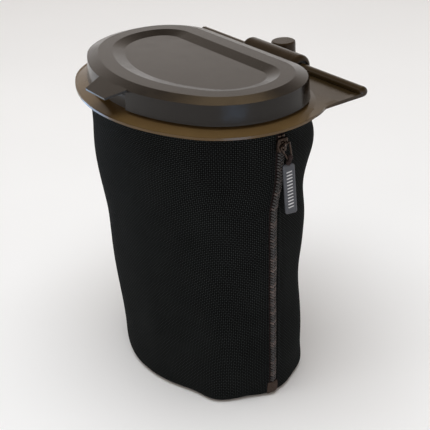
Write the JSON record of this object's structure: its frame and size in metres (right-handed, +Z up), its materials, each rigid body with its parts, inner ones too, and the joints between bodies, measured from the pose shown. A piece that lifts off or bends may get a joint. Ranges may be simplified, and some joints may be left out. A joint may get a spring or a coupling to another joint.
{
  "type": "hanging litter bin",
  "caption": "D-shaped hanging litter bin for a vehicle: zipped fabric bag on a plastic rim with a hinged lid, and a hook on a clip that slides along a rail behind the rim.",
  "frame": {"origin": "middle of the bag's base, on the surface the bin can stand on", "axes": "+Z up, +X along the rail, +Y from the lid's lifting tab to the rail"},
  "size_m": [0.2436, 0.2055, 0.271],
  "materials": {
    "frame_plastic": "satin moulded, dark warm brown-black",
    "lid_plastic": "satin moulded, dark warm grey",
    "clip_plastic": "semi-gloss moulded, brown-black",
    "pin_steel": "ground",
    "hem_strip": "extruded strip",
    "base_board": "sheet",
    "bag_fabric": "coarse basket weave, black",
    "bag_lining": "coated cloth, charcoal",
    "zip_tape": "woven tape, black",
    "zip_coil": "nylon coil, dark brown",
    "zip_stop": "moulded nylon, brown",
    "zip_metal": "dark bronze paint",
    "loop_webbing": "narrow woven tape",
    "tag_rubber": "smooth slate grey",
    "bush_rubber": "matt"
  },
  "bodies": {
    "frame": {"rim_frame": "frame_plastic", "collar_ring": "frame_plastic", "hinge_pins": "pin_steel", "liner_ring": "frame_plastic", "hem_strip": "hem_strip", "bag_wall": "bag_fabric", "bag_bottom": "bag_fabric", "base_board": "base_board", "bag_lining": "bag_lining", "zip_tape_front": "zip_tape", "zip_tape_rear": "zip_tape", "zip_coil_front": "zip_coil", "zip_coil_rear": "zip_coil", "zip_top_stops": "zip_coil", "zip_bottom_stop": "zip_stop"},
    "lid": {"lid_shell": "lid_plastic"},
    "slider": {"zip_slider": "zip_metal"},
    "pull": {"zip_pull": "zip_metal"},
    "tag": {"tag_loop": "loop_webbing", "pull_tag": "tag_rubber"},
    "bush": {"grip_bush": "bush_rubber"},
    "clip": {"clip_sleeve": "clip_plastic"},
    "hook": {"hanger_hook": "clip_plastic", "grip_pad": "bush_rubber"}
  },
  "joints": [
    {"name": "lid_hinge", "type": "hinge", "parent": "frame", "child": "lid", "pos_m": [0, 0.0755, 0.258], "axis": [-1, 0, 0], "range_deg": [0, 105]},
    {"name": "zip_travel", "type": "slide", "parent": "frame", "child": "slider", "axis": [-0.0406, -0.0372, -0.9985], "range_m": [0, 0.2118]},
    {"name": "pull_hinge", "type": "hinge", "parent": "slider", "child": "pull", "pos_m": [0.11471, 0.01418, 0.23135], "axis": [-0.0138, -0.9405, -0.3396], "range_deg": [0, 120]},
    {"name": "tag_hinge", "type": "hinge", "parent": "pull", "child": "tag", "pos_m": [0.11425, 0.01956, 0.22001], "axis": [-0.0138, -0.9405, -0.3396], "range_deg": [0, 75]},
    {"name": "clip_slide", "type": "slide", "parent": "frame", "child": "bush", "axis": [1, 0, 0], "range_m": [-0.062, 0.066]},
    {"name": "clip_tilt", "type": "hinge", "parent": "bush", "child": "clip", "pos_m": [-0.0022, 0.0977, 0.2498], "axis": [1, 0, 0], "range_deg": [-10, 10]},
    {"name": "hook_swivel", "type": "hinge", "parent": "clip", "child": "hook", "pos_m": [-0.0135, 0.1163, 0.24], "axis": [0, 0, 1], "range_deg": [-60, 60]}
  ]
}
